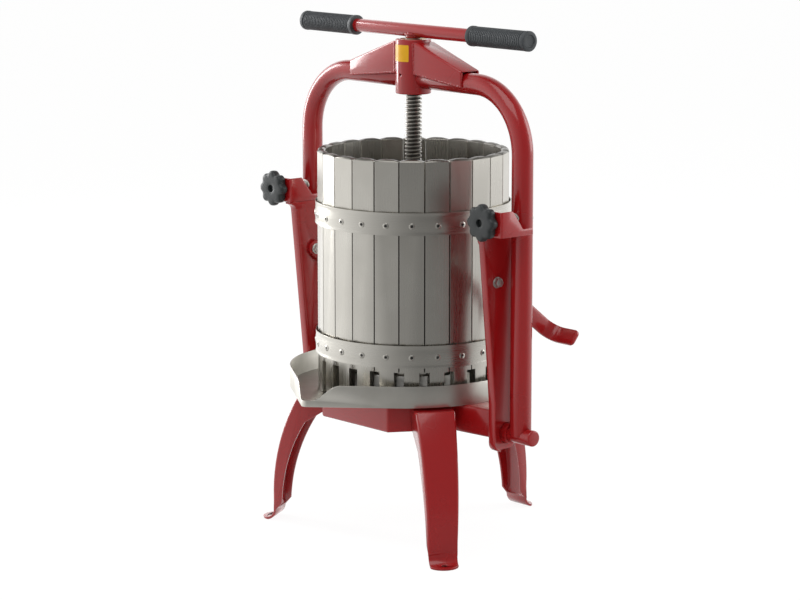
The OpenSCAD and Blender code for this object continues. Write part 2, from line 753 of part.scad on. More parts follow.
base_tray();
leg_right();
leg_left();
leg_rear();
upright_left();
upright_right();
clamp_head_left();
clamp_head_right();
pivot_bush_left();
pivot_bush_right();
stop_arm_left();
stop_arm_right();
stop_arm_bolts();
yoke_arch();
yoke_gussets();
yoke_boss();
spindle_nut();
pivot_pin_left();
pivot_pin_right();
clamp_inserts();
spindle();
handle_hub();
handle_bar();
grip_left();
grip_right();
press_plate();
knob_left();
knob_right();
knob_stud_left();
knob_stud_right();
knob_washer_left();
knob_washer_right();
juice_pan();
hoop_upper();
hoop_lower();
for (i = [1 : slat_count])
    slat(i);
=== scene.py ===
import math

import bmesh
import bpy
from mathutils import Matrix, Vector


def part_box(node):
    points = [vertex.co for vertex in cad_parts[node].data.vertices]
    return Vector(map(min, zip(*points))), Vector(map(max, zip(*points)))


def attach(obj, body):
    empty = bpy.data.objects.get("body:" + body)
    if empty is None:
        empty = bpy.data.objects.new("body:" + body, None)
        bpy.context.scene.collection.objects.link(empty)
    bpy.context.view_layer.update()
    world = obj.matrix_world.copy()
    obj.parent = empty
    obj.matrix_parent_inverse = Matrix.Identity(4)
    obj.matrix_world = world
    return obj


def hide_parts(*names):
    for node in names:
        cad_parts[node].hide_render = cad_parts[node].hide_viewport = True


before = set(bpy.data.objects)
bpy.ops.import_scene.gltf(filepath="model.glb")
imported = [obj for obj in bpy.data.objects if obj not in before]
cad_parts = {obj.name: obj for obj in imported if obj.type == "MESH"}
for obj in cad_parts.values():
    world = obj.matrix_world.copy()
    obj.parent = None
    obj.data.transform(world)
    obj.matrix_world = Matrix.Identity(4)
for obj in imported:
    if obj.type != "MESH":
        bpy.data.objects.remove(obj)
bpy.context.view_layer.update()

# The camera: to the right of the press and above its middle, with a long lens.
# Its place was fitted to the photograph from the press's own sizes.
camera_turn = math.radians(48.48)
camera_away = 4.436
camera_height = 1.1757
camera_aim = Vector((0.0395, -0.0624, 0.3861))

camera_data = bpy.data.cameras.new("camera")
camera_data.lens = 128.1
camera = bpy.data.objects.new("camera", camera_data)
camera.location = (camera_away * math.sin(camera_turn), -camera_away * math.cos(camera_turn), camera_height)
camera.rotation_euler = (camera_aim - camera.location).to_track_quat("-Z", "Y").to_euler()
bpy.context.collection.objects.link(camera)
bpy.context.scene.camera = camera
bpy.context.scene.view_settings.view_transform = "Standard"


# The floor: a wide sheet of white paper under the press, which takes its soft shadow.
# The camera sees it white and metal mirrors it as it mirrors the room, by light of its own.
def linear(colour):
    """The linear colour of an sRGB hex value such as "A01C1E"."""
    shares = [int(colour[i:i + 2], 16) / 255 for i in (0, 2, 4)]
    return tuple(s / 12.92 if s < 0.04045 else ((s + 0.055) / 1.055) ** 2.4 for s in shares) + (1,)


def add(tree, kind, sockets=None, links=None, **settings):
    """One node with its settings, the values of its sockets and what is linked to them."""
    made = tree.nodes.new(kind)
    for name, value in settings.items():
        setattr(made, name, value)
    for name, value in (sockets or {}).items():
        made.inputs[name].default_value = value
    for name, source in (links or {}).items():
        tree.links.new(source, made.inputs[name])
    return made


def blank(name):
    """A new material with nothing in it yet, and its node tree."""
    material = bpy.data.materials.new(name)
    material.use_nodes = True
    material.node_tree.nodes.clear()
    return material, material.node_tree


def room_light(tree, way):
    """How bright the room is in a level direction, as polished metal mirrors it.
    It rises from grey on the near right to white on the left, and is white on the far right too."""
    left_way = (-0.959, 0.284, 0.0)
    right_way = (0.5, 0.866, 0.0)
    left = add(tree, "ShaderNodeVectorMath", {1: left_way}, {0: way}, operation="DOT_PRODUCT")
    rising = add(tree, "ShaderNodeMapRange",
                 {"From Min": -0.95, "From Max": 0.7, "To Min": 0.19, "To Max": 1.36},
                 {"Value": left.outputs["Value"]})
    right = add(tree, "ShaderNodeVectorMath", {1: right_way}, {0: way}, operation="DOT_PRODUCT")
    white = add(tree, "ShaderNodeMapRange", {"From Min": 0.65}, {"Value": right.outputs["Value"]})
    room = add(tree, "ShaderNodeMath", None, {0: rising.outputs[0], 1: white.outputs[0]}, operation="MAXIMUM")
    return room.outputs[0]


floor_radius = 30
floor_z = -0.0005
floor_white = 1.08
# The share of the floor's look that is its own light; the rest takes the shadow
floor_own_light = 0.86

paper, tree = blank("white_paper")
ray = add(tree, "ShaderNodeLightPath")
seen = add(tree, "ShaderNodeMath", None, {0: ray.outputs["Is Camera Ray"], 1: ray.outputs["Is Glossy Ray"]},
           operation="MAXIMUM")
share = add(tree, "ShaderNodeMath", {1: floor_own_light}, {0: seen.outputs[0]}, operation="MULTIPLY")
place = add(tree, "ShaderNodeTexCoord")
way = add(tree, "ShaderNodeVectorMath", None, {0: place.outputs["Object"]}, operation="NORMALIZE")
mirrored = room_light(tree, way.outputs[0])
level = add(tree, "ShaderNodeMix", {2: floor_white}, {0: ray.outputs["Is Glossy Ray"], 3: mirrored})
matt = add(tree, "ShaderNodeBsdfDiffuse", {"Color": linear("EEEEEC")})
lit = add(tree, "ShaderNodeEmission", {"Color": linear("FFFFFF")}, {"Strength": level.outputs[0]})
both = add(tree, "ShaderNodeMixShader", None, {0: share.outputs[0], 1: matt.outputs[0], 2: lit.outputs[0]})
add(tree, "ShaderNodeOutputMaterial", None, {"Surface": both.outputs[0]})

floor_shape = bmesh.new()
bmesh.ops.create_circle(floor_shape, cap_ends=True, segments=64, radius=floor_radius)
bmesh.ops.translate(floor_shape, verts=floor_shape.verts, vec=(0, 0, floor_z))
floor_mesh = bpy.data.meshes.new("floor")
floor_shape.to_mesh(floor_mesh)
floor_shape.free()
floor_mesh.materials.append(paper)
floor = bpy.data.objects.new("floor", floor_mesh)
bpy.context.collection.objects.link(floor)


# The light: a room that is white on the left and the far right, and grey on the near right and
# overhead, so that polished metal mirrors white at the basket's two edges, and three soft panels.
room_white = 1.0
room_plain = 0.5

world = bpy.data.worlds.new("room")
world.use_nodes = True
tree = world.node_tree
tree.nodes.clear()
way = add(tree, "ShaderNodeTexCoord").outputs["Generated"]
height = add(tree, "ShaderNodeSeparateXYZ", None, {0: way})
overhead = add(tree, "ShaderNodeMapRange", {"From Min": 0.3, "From Max": 0.85, "To Min": 1.0, "To Max": 0.35},
               {"Value": height.outputs["Z"]})
mirrored = add(tree, "ShaderNodeMath", None, {0: room_light(tree, way), 1: overhead.outputs[0]},
               operation="MULTIPLY")
ray = add(tree, "ShaderNodeLightPath")
unseen = add(tree, "ShaderNodeMix", {2: room_plain},
             {0: ray.outputs["Is Glossy Ray"], 3: mirrored.outputs[0]})
level = add(tree, "ShaderNodeMix", {3: room_white}, {0: ray.outputs["Is Camera Ray"], 2: unseen.outputs[0]})
air = add(tree, "ShaderNodeBackground", {"Color": linear("FFFFFF")}, {"Strength": level.outputs[0]})
add(tree, "ShaderNodeOutputWorld", None, {"Surface": air.outputs[0]})
bpy.context.scene.world = world

# Each panel's place, width, length and power in watts. All of them face the basket.
panels = {"over": ((0.6, -1.0, 3.0), 2.4, 2.4, 31),
          "left": ((-3.0, -0.7, 1.2), 0.8, 2.2, 52),
          "right": ((1.6, 3.0, 1.5), 2.0, 2.2, 34)}
panel_aim = Vector((0, 0, 0.4))
for name, (place, width, length, power) in panels.items():
    light = bpy.data.lights.new(name, "AREA")
    light.shape = "RECTANGLE"
    light.size = width
    light.size_y = length
    light.energy = power
    lamp = bpy.data.objects.new(name, light)
    lamp.location = place
    lamp.rotation_euler = (panel_aim - lamp.location).to_track_quat("-Z", "Y").to_euler()
    bpy.context.collection.objects.link(lamp)


# The base: 4 mm steel sheet, folded down all round and welded to the legs and the uprights.
# All the frame's steel is sprayed with red enamel and baked, which leaves a deep, even gloss
# with a slight orange peel of about 3 mm, and rounds every edge.
def clouded(tree, per_metre, first, second, detail=3.0):
    """Soft clouds, of which there are so many in a metre, and the colour that drifts with them
    between two."""
    place = add(tree, "ShaderNodeTexCoord")
    cloud = add(tree, "ShaderNodeTexNoise", {"Scale": per_metre, "Detail": detail},
                {"Vector": place.outputs["Object"]})
    tone = add(tree, "ShaderNodeMix", {6: linear(first), 7: linear(second)}, {0: cloud.outputs["Fac"]},
               data_type="RGBA")
    return cloud.outputs["Fac"], tone.outputs[2]


def fine_relief(tree, per_metre, strength, depth):
    """The fine relief that a spray gun or a mould leaves, as a normal."""
    place = add(tree, "ShaderNodeTexCoord")
    grain = add(tree, "ShaderNodeTexNoise", {"Scale": per_metre, "Detail": 1.0},
                {"Vector": place.outputs["Object"]})
    skin = add(tree, "ShaderNodeBump", {"Strength": strength, "Distance": depth},
               {"Height": grain.outputs["Fac"]})
    return skin.outputs[0]


enamel, tree = blank("baked_red_enamel")
cloud, tone = clouded(tree, 14.0, "A9191B", "9B1114")
orange_peel = fine_relief(tree, 380.0, 0.25, 0.00012)
gloss = add(tree, "ShaderNodeMapRange", {"From Min": 0.3, "From Max": 0.7, "To Min": 0.2, "To Max": 0.3},
            {"Value": cloud})
coat = add(tree, "ShaderNodeBsdfPrincipled", {"IOR": 1.5, "Coat Weight": 0.45, "Coat Roughness": 0.08},
           {"Base Color": tone, "Roughness": gloss.outputs[0], "Normal": orange_peel})
add(tree, "ShaderNodeOutputMaterial", None, {"Surface": coat.outputs[0]})


def merged_copy(node):
    """A copy of a CAD node with its triangles merged to whole faces."""
    shape = bmesh.new()
    shape.from_mesh(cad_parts[node].data)
    bmesh.ops.remove_doubles(shape, verts=shape.verts[:], dist=0.00001)
    bmesh.ops.dissolve_limit(shape, angle_limit=math.radians(0.6), verts=shape.verts[:],
                             edges=shape.edges[:])
    return shape


def round_edges(shape, edges, offset, segments=2):
    """Rounds some edges, in so many segments, up to an offset on each side of them."""
    bmesh.ops.bevel(shape, geom=edges, offset=offset, offset_type="OFFSET", affect="EDGES",
                    segments=segments, profile=0.5, material=-1, clamp_overlap=False)


def round_folds(shape, radius, rise=(0, 1)):
    """Rounds the folds of sheet: the outer edges between faces wider than a sheet is thick, which
    rise by a height between two limits. A fold's short end edges would spike, so they stay out."""
    sheet_most = 0.0065
    thin = {f for f in shape.faces if f.calc_area() < sheet_most * max(e.calc_length() for e in f.edges)}
    folds = [e for e in shape.edges if e.is_manifold and e.calc_face_angle_signed(0) > math.radians(60)
             and not thin.intersection(e.link_faces)
             and rise[0] <= abs(e.verts[0].co.z - e.verts[1].co.z) <= rise[1]]
    round_edges(shape, folds, radius, 4)


def round_sharp(shape, rounding, above=50, segments=2):
    """Rounds every edge that turns by more than so many degrees, and gives the shape back."""
    sharp = [e for e in shape.edges if e.is_manifold and e.calc_face_angle(0) > math.radians(above)]
    round_edges(shape, sharp, rounding, segments)
    return shape


def worked_copy(node, rounding, above=50, segments=2):
    """A merged copy of a CAD node with its sharp edges rounded."""
    return round_sharp(merged_copy(node), rounding, above, segments)


def finish(shape, name, material, body, stands_for=(), crease=32):
    """Puts a finished mesh in the scene, riding on its body and standing for its CAD nodes."""
    mesh = bpy.data.meshes.new(name)
    shape.to_mesh(mesh)
    shape.free()
    mesh.materials.append(material)
    mesh.shade_smooth()
    mesh.set_sharp_from_angle(angle=math.radians(crease))
    made = bpy.data.objects.new(name, mesh)
    bpy.context.collection.objects.link(made)
    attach(made, body)
    if stands_for:
        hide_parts(*stands_for)


base_fold_r = 0.003
thick_edge_r = 0.0012
base = merged_copy("base_tray")
round_folds(base, base_fold_r)
finish(round_sharp(base, thick_edge_r, 40), "base", enamel, "frame", ["base_tray"])


# The legs: three alike, at 120 degrees, pressed from 4 mm sheet as a channel that narrows to a
# turned-out foot. Each foot is drilled, so that the press can be screwed down.
leg_fold_r = 0.0045
leg_fold_rise = (0.01, 0.02)
for side in ("right", "left", "rear"):
    leg = merged_copy("leg_" + side)
    round_folds(leg, leg_fold_r, leg_fold_rise)
    round_sharp(leg, thick_edge_r)
    finish(leg, "pressed_leg_" + side, enamel, "frame", ["leg_" + side])


# The uprights and their clamp heads: channels and boxes of folded 3 mm sheet, welded together
# beside the basket. The front flanges are 13 mm deep, and the heads' rear tabs end behind the
# tubes. An upright's folds are rounded from just above its pivot.
def cut(shape, place, way, outer=False, inner=False, within=0.00001):
    """Cuts a mesh through at a plane, and may clear what lies beyond it or before it."""
    bmesh.ops.bisect_plane(shape, geom=shape.verts[:] + shape.edges[:] + shape.faces[:], dist=within,
                           plane_co=place, plane_no=way, clear_outer=outer, clear_inner=inner)


def cut_off(shape, place, way):
    """Cuts off what lies beyond a plane and closes the cut."""
    cut(shape, place, way, outer=True)
    bmesh.ops.holes_fill(shape, edges=[e for e in shape.edges if e.is_boundary], sides=0)


upright_fold_foot = 0.216
upright_flange_x = 0.2295
upright_fold_r = 0.005
upright_fold_rise = (0.05, 0.4)
head_tab_y = -0.0075
head_fold_r = 0.003
head_fold_rise = (0.03, 0.05)
thin_edge_r = 0.0008
for side, mirror in (("right", 1), ("left", -1)):
    upright = merged_copy("upright_" + side)
    cut(upright, (0, 0, upright_fold_foot), (0, 0, 1))
    cut_off(upright, (mirror * upright_flange_x, 0, 0), (mirror, 0, 0))
    round_folds(upright, upright_fold_r, upright_fold_rise)
    round_sharp(upright, thin_edge_r)
    finish(upright, "folded_upright_" + side, enamel, "frame", ["upright_" + side])

    head = merged_copy("clamp_head_" + side)
    cut_off(head, (0, head_tab_y, 0), (0, 1, 0))
    round_folds(head, head_fold_r, head_fold_rise)
    round_sharp(head, thin_edge_r)
    finish(head, "folded_head_" + side, enamel, "frame", ["clamp_head_" + side])


# The stop arms: flat bars, bolted inside the uprights, that run back beside the basket and sweep
# round behind the yoke's tubes to stop it. Their ends are rounded.
arm_width = 0.026
arm_thick = 0.005
arm_length = 0.157
arm_bend_r = 0.026
arm_tip_r = 0.007
arm_edge_r = 0.0009
arm_slope = math.radians(-38)
bolt_low, bolt_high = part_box("stop_arm_bolts")
bolt_y = (bolt_low.y + bolt_high.y) / 2
bolt_z = (bolt_low.z + bolt_high.z) / 2
arm_inner_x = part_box("stop_arm_right")[0].x
arm_tip_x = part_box("stop_arm_right")[1].x
arm_reach = arm_tip_x - arm_inner_x
arm_bend_y = arm_length - arm_bend_r
for side, mirror in (("right", 1), ("left", -1)):
    arm = bmesh.new()
    bmesh.ops.create_circle(arm, cap_ends=True, segments=32, radius=arm_width / 2,
                            matrix=Matrix.Rotation(math.radians(90), 4, "Y"))
    cut(arm, (0, 0, 0), (0, 1, 0), outer=True)
    front = [e for e in arm.edges if all(abs(v.co.y) < 0.00001 for v in e.verts)]
    # The bar grows from its round end: a long run back, the bend, and a short run outwards
    for run in ((0, arm_bend_y, 0), "bend", (arm_reach - arm_bend_r, 0, 0)):
        if run == "bend":
            grown = bmesh.ops.spin(arm, geom=front, axis=(0, 0, -1), cent=(arm_bend_r, arm_bend_y, 0),
                                   dvec=(0, 0, 0), angle=math.radians(90), steps=10)["geom_last"]
        else:
            grown = bmesh.ops.extrude_edge_only(arm, edges=front)["geom"]
            bmesh.ops.translate(arm, verts=[g for g in grown if isinstance(g, bmesh.types.BMVert)], vec=run)
        front = [g for g in grown if isinstance(g, bmesh.types.BMEdge)
                 and abs(g.verts[0].co.z - g.verts[1].co.z) > arm_width * 0.9]
    bmesh.ops.remove_doubles(arm, verts=arm.verts[:], dist=0.00001)
    tips = [v for v in arm.verts if v.co.x > arm_reach - 0.0001]
    bmesh.ops.bevel(arm, geom=tips, offset=arm_tip_r, offset_type="OFFSET", affect="VERTICES",
                    segments=5, profile=0.5, material=-1)
    bmesh.ops.recalc_face_normals(arm, faces=arm.faces[:])
    outward = -1 if max(arm.faces, key=lambda f: f.calc_area()).normal.x > 0 else 1
    bmesh.ops.solidify(arm, geom=arm.faces[:], thickness=outward * arm_thick)
    bmesh.ops.recalc_face_normals(arm, faces=arm.faces[:])
    round_sharp(arm, arm_edge_r)
    bmesh.ops.transform(arm, verts=arm.verts[:], matrix=Matrix.Translation((arm_inner_x, bolt_y, bolt_z))
                        @ Matrix.Rotation(arm_slope, 4, "X"))
    bmesh.ops.scale(arm, vec=(mirror, 1, 1), verts=arm.verts[:])
    bmesh.ops.recalc_face_normals(arm, faces=arm.faces[:])
    finish(arm, "bar_arm_" + side, enamel, "frame", ["stop_arm_" + side])


# The pivots: a steel bush welded into each upright, and a pin through it and under the yoke's tube,
# which the yoke leans back on. They were painted with the rest.
bush_edge_r = 0.0006
pin_edge_r = 0.0028
for side in ("right", "left"):
    bush = worked_copy("pivot_bush_" + side, bush_edge_r)
    finish(bush, "pivot_bearing_" + side, enamel, "frame", ["pivot_bush_" + side])
    pin = worked_copy("pivot_pin_" + side, pin_edge_r, 60, 4)
    finish(pin, "turned_pin_" + side, enamel, "yoke", ["pivot_pin_" + side])


# The stop arms' bolts: M8 hexagon bolts through the arms and the uprights, with a washer under each
# head and nut. Small steel parts are zinc plated, which is a pale grey metal with a slight
# cloudiness, about 8 mm from cloud to cloud.
def satin_metal(name, per_metre, first, second, smooth, rough):
    """A metal whose colour and roughness drift in the same soft clouds."""
    material, tree = blank(name)
    cloud, tone = clouded(tree, per_metre, first, second)
    dull = add(tree, "ShaderNodeMapRange", {"To Min": smooth, "To Max": rough}, {"Value": cloud})
    metal = add(tree, "ShaderNodeBsdfPrincipled", {"Metallic": 1.0},
                {"Base Color": tone, "Roughness": dull.outputs[0]})
    add(tree, "ShaderNodeOutputMaterial", None, {"Surface": metal.outputs[0]})
    return material


zinc = satin_metal("zinc_plated_steel", 120.0, "E9EBE7", "D2D4CF", 0.34, 0.52)


def place_mesh(shape, piece, matrix):
    """Adds one mesh to another, put in place by a matrix, and frees it."""
    bmesh.ops.transform(piece, matrix=matrix, verts=piece.verts[:])
    scratch = bpy.data.meshes.new("scratch")
    piece.to_mesh(scratch)
    piece.free()
    shape.from_mesh(scratch)
    bpy.data.meshes.remove(scratch)


def seated(place, degrees, axis):
    """The matrix that turns a piece about an axis and then sets it at a place."""
    return Matrix.Translation(place) @ Matrix.Rotation(math.radians(degrees), 4, axis)


def turned(profile, steps=48, closed=False):
    """A mesh turned about the Z axis from points of radius and height."""
    piece = bmesh.new()
    points = [piece.verts.new((radius, 0, height)) for radius, height in profile]
    ends = points[1:] + points[:1] if closed else points[1:]
    edges = [piece.edges.new(pair) for pair in zip(points, ends)]
    bmesh.ops.spin(piece, geom=points + edges, axis=(0, 0, 1), cent=(0, 0, 0), dvec=(0, 0, 0),
                   angle=math.tau, steps=steps, use_merge=True, use_duplicate=False)
    bmesh.ops.remove_doubles(piece, verts=piece.verts[:], dist=0.000001)
    bmesh.ops.recalc_face_normals(piece, faces=piece.faces[:])
    return piece


def threaded(length, crest, root, pitch, steps):
    """A right-hand thread about the Z axis, from zero up to a length, closed at both ends."""
    piece = bmesh.new()
    tooth = ((0.0, root), (0.34, root), (0.5, crest), (0.84, crest))
    turns = range(-1, math.ceil(length / pitch) + 1)
    points = [piece.verts.new((radius, 0, (turn + share) * pitch))
              for turn in turns for share, radius in tooth]
    edges = [piece.edges.new(pair) for pair in zip(points, points[1:])]
    bmesh.ops.spin(piece, geom=points + edges, axis=(0, 0, 1), cent=(0, 0, 0), dvec=(0, 0, pitch / steps),
                   angle=math.tau, steps=steps, use_merge=False, use_duplicate=False)
    bmesh.ops.remove_doubles(piece, verts=piece.verts[:], dist=0.00001)
    cut(piece, (0, 0, 0), (0, 0, 1), inner=True, within=0.000001)
    cut(piece, (0, 0, length), (0, 0, 1), outer=True, within=0.000001)
    bmesh.ops.holes_fill(piece, edges=[e for e in piece.edges if e.is_boundary], sides=0)
    bmesh.ops.recalc_face_normals(piece, faces=piece.faces[:])
    return piece


def hexagon(across_corners, thickness):
    """A hexagon head or nut about the Z axis, from zero up to its thickness, with softened edges."""
    piece = bmesh.new()
    bmesh.ops.create_cone(piece, cap_ends=True, segments=6, radius1=across_corners / 2,
                          radius2=across_corners / 2, depth=thickness,
                          matrix=Matrix.Translation((0, 0, thickness / 2)))
    bmesh.ops.bevel(piece, geom=piece.edges[:], offset=thickness * 0.09, offset_type="OFFSET",
                    affect="EDGES", segments=2, profile=0.5, material=-1)
    return piece


bolt_across = bolt_high.z - bolt_low.z
bolt_r = 0.004
bolt_pitch = 0.00125
bolt_head = 0.0056
washer_thick = 0.0014
washer_bore_r = 0.0042
washer_r = 0.0087
washer_profile = [(washer_bore_r, 0), (washer_bore_r, washer_thick), (washer_r - 0.0005, washer_thick),
                  (washer_r, washer_thick * 0.6), (washer_r, 0)]
bolt_inner_x = arm_inner_x - 0.0001
bolt_outer_x = bolt_high.x - bolt_head
bolt_grip = bolt_outer_x - bolt_inner_x
bolt_stub = 0.0035
bolt_stub_x = bolt_outer_x + washer_thick + bolt_head - 0.0006
bolts = bmesh.new()
for mirror in (1, -1):
    for x, degrees in ((bolt_outer_x, 90), (bolt_inner_x, -90)):
        seat = seated((mirror * x, bolt_y, bolt_z), mirror * degrees, "Y")
        place_mesh(bolts, turned(washer_profile, 32, closed=True), seat)
        place_mesh(bolts, hexagon(bolt_across, bolt_head), seat @ Matrix.Translation((0, 0, washer_thick)))
    stub = threaded(bolt_stub, bolt_r, bolt_r - 0.0006, bolt_pitch, 16)
    place_mesh(bolts, stub, seated((mirror * bolt_stub_x, bolt_y, bolt_z), mirror * 90, "Y"))
    shank = turned([(0, 0), (bolt_r - 0.0001, 0), (bolt_r - 0.0001, bolt_grip), (0, bolt_grip)], 24)
    place_mesh(bolts, shank, seated((mirror * bolt_inner_x, bolt_y, bolt_z), mirror * 90, "Y"))
finish(bolts, "arm_bolts", zinc, "frame", ["stop_arm_bolts"])


# The yoke: a steel tube bent twice, which stands on its pins and leans back when the knobs are slack.
# A threaded insert is set across each leg of it, for a knob's stud.
tube_edge_r = 0.0006
insert_edge_r = 0.0006
tube = worked_copy("yoke_arch", tube_edge_r, 60)
finish(tube, "bent_yoke_tube", enamel, "yoke", ["yoke_arch"])
inserts = worked_copy("clamp_inserts", insert_edge_r)
finish(inserts, "threaded_inserts", zinc, "yoke", ["clamp_inserts"])


# The gussets: folded 3 mm webs over the tube on both sides of the boss, welded by hand along the tube
# and up the boss, so that a rippled bead shows through the paint.
# Their lower edges rise a little towards the boss.
gusset_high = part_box("yoke_gussets")[1]
boss_low, boss_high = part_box("yoke_boss")
arch_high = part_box("yoke_arch")[1]
tube_axis_z = arch_high.z - arch_high.y
gusset_tip_drop = 0.004
gusset_root_rise = 0.007
gusset_fold_r = 0.0035
gusset_fold_least = 0.08
gusset_edge_r = 0.0009


def gusset_edge(x):
    """Height of a gusset's lower edge at a distance from the middle."""
    share = (gusset_high.x - abs(x)) / (gusset_high.x - boss_high.x)
    return tube_axis_z - gusset_tip_drop + share * (gusset_tip_drop + gusset_root_rise)


gussets = merged_copy("yoke_gussets")
for v in gussets.verts:
    if v.co.z < tube_axis_z + 0.001:
        v.co.z = gusset_edge(v.co.x)
fold_low = gusset_edge(0.05) + 0.02
long_edges = [e for e in gussets.edges if e.is_manifold and e.calc_length() > gusset_fold_least]
gusset_folds = [e for e in long_edges if e.calc_face_angle_signed(0) > math.radians(60)
                and (e.verts[0].co.z + e.verts[1].co.z) / 2 > fold_low]
round_edges(gussets, gusset_folds, gusset_fold_r, 4)
round_sharp(gussets, gusset_edge_r)
finish(gussets, "folded_gussets", enamel, "yoke", ["yoke_gussets"])


def weld_bead(shape, start, end, radius, ripple=0.0022):
    """A row of overlapping ripples along a straight seam, as a welder's hand leaves them."""
    count = max(2, round((end - start).length / ripple))
    turn = (end - start).to_track_quat("X", "Z").to_matrix().to_4x4() @ Matrix.Diagonal((0.9, 1, 1, 1))
    for i in range(count + 1):
        spot = start.lerp(end, i / count)
        spot.z += 0.0003 * math.sin(2.7 * i)
        swollen = radius * (1 + 0.12 * math.sin(1.9 * i + 0.6))
        bmesh.ops.create_icosphere(shape, subdivisions=2, radius=swollen,
                                   matrix=Matrix.Translation(spot) @ turn)


tube_bead_r = 0.0024
tip_bead_r = 0.0019
boss_bead_r = 0.0026
seam_x = math.sqrt(boss_high.x ** 2 - gusset_high.y ** 2)
beads = bmesh.new()
for side in (-1, 1):
    for face in (-1, 1):
        seam_y = face * (gusset_high.y - 0.002)
        root = Vector((side * (seam_x + 0.003), seam_y, gusset_edge(seam_x)))
        tip = Vector((side * (gusset_high.x - 0.001), seam_y, gusset_edge(gusset_high.x)))
        end = Vector((tip.x + side * 0.001, tip.y - face * 0.001, tube_axis_z + 0.016))
        crown = Vector((side * (seam_x + 0.001), face * (gusset_high.y - 0.0005), gusset_high.z - 0.003))
        weld_bead(beads, root, tip, tube_bead_r)
        weld_bead(beads, tip, end, tip_bead_r)
        weld_bead(beads, root, crown, boss_bead_r)
finish(beads, "weld_beads", enamel, "yoke", crease=180)


# The boss: a short thick tube welded into the middle of the yoke, with a grease hole at its front
# and a bronze nut pressed inside. A plain yellow film is stuck on it above the hole.
boss_edge_r = 0.0014
boss = worked_copy("yoke_boss", boss_edge_r, segments=3)
finish(boss, "welded_boss", enamel, "yoke", ["yoke_boss"])

# Dyed vinyl film is smooth and half glossy, and its colour hardly drifts
vinyl, tree = blank("yellow_vinyl_film")
tone = clouded(tree, 90.0, "F3B808", "E6A800", 2.0)[1]
film_face = add(tree, "ShaderNodeBsdfPrincipled", {"Roughness": 0.34}, {"Base Color": tone})
add(tree, "ShaderNodeOutputMaterial", None, {"Surface": film_face.outputs[0]})

film_half_turn = math.radians(33)
film_r = boss_high.x + 0.00005
film_low = boss_low.z + 0.051
film_high = boss_low.z + 0.077
film_thick = 0.00015
film_corner_r = 0.0016
film = bmesh.new()
edge = [film.verts.new((0, -film_r, z)) for z in (film_low, film_high)]
film.edges.new(edge)
bmesh.ops.rotate(film, verts=edge, cent=(0, 0, 0), matrix=Matrix.Rotation(-film_half_turn, 3, "Z"))
bmesh.ops.spin(film, geom=film.verts[:] + film.edges[:], axis=(0, 0, 1), cent=(0, 0, 0), dvec=(0, 0, 0),
               angle=2 * film_half_turn, steps=18, use_merge=False, use_duplicate=False)
corners = [v for v in film.verts if len(v.link_edges) == 2]
bmesh.ops.bevel(film, geom=corners, offset=film_corner_r, offset_type="OFFSET", affect="VERTICES",
                segments=3, profile=0.5, material=-1)
bmesh.ops.recalc_face_normals(film, faces=film.faces[:])
bmesh.ops.solidify(film, geom=film.faces[:], thickness=-film_thick)
bmesh.ops.recalc_face_normals(film, faces=film.faces[:])
finish(film, "yellow_film", vinyl, "yoke")

# Cast bronze, bored and reamed: a warm yellow brown, satin where it was cut
bronze = satin_metal("cast_bronze", 160.0, "C09653", "9C753A", 0.3, 0.5)
nut_edge_r = 0.0005
nut = worked_copy("spindle_nut", nut_edge_r)
finish(nut, "bronze_nut", bronze, "yoke", ["spindle_nut"])


# The spindle: a turned steel bar with a coarse trapezoidal thread, 27 mm over its crests, and a plain
# end with a nut that holds it in the press plate.
# It is left bare and greased, and the roots of the thread carry painted shade, darker than its crests.
spindle_low, spindle_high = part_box("spindle")
thread_pitch = 0.006
thread_depth = 0.003
thread_crest = spindle_high.y
thread_root = thread_crest - thread_depth
thread_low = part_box("press_plate")[1].z + 0.0003
pintle_r = 0.009
pintle_high = thread_low + 0.0005
end_nut_low = spindle_low.z + 0.002
end_nut_height = 0.0118

bare_steel, tree = blank("greased_steel_painted_groove_shade")
place = add(tree, "ShaderNodeTexCoord").outputs["Object"]
# Painted shade: the thread's roots are painted darker than its crests, by how deep they lie below them
flat = add(tree, "ShaderNodeVectorMath", {1: (1, 1, 0)}, {0: place}, operation="MULTIPLY")
reach = add(tree, "ShaderNodeVectorMath", None, {0: flat.outputs[0]}, operation="LENGTH")
depth = add(tree, "ShaderNodeMapRange", {"From Min": thread_root, "From Max": thread_crest},
            {"Value": reach.outputs["Value"]})
tone = add(tree, "ShaderNodeMix", {6: linear("57534E"), 7: linear("BCB8B1")}, {0: depth.outputs[0]},
           data_type="RGBA")
cloud = add(tree, "ShaderNodeTexNoise", {"Scale": 150.0, "Detail": 3.0}, {"Vector": place})
dull = add(tree, "ShaderNodeMapRange", {"To Min": 0.26, "To Max": 0.48}, {"Value": cloud.outputs["Fac"]})
bar = add(tree, "ShaderNodeBsdfPrincipled", {"Metallic": 1.0},
          {"Base Color": tone.outputs[2], "Roughness": dull.outputs[0]})
add(tree, "ShaderNodeOutputMaterial", None, {"Surface": bar.outputs[0]})

spindle = threaded(spindle_high.z - thread_low, thread_crest, thread_root, thread_pitch, 30)
bmesh.ops.translate(spindle, verts=spindle.verts[:], vec=(0, 0, thread_low))
pintle = turned([(0, spindle_low.z), (pintle_r - 0.001, spindle_low.z), (pintle_r, spindle_low.z + 0.001),
                 (pintle_r, pintle_high), (0, pintle_high)])
place_mesh(spindle, pintle, Matrix())
place_mesh(spindle, hexagon(2 * spindle_high.x, end_nut_height), Matrix.Translation((0, 0, end_nut_low)))
finish(spindle, "threaded_spindle", bare_steel, "screw", ["spindle"], 28)


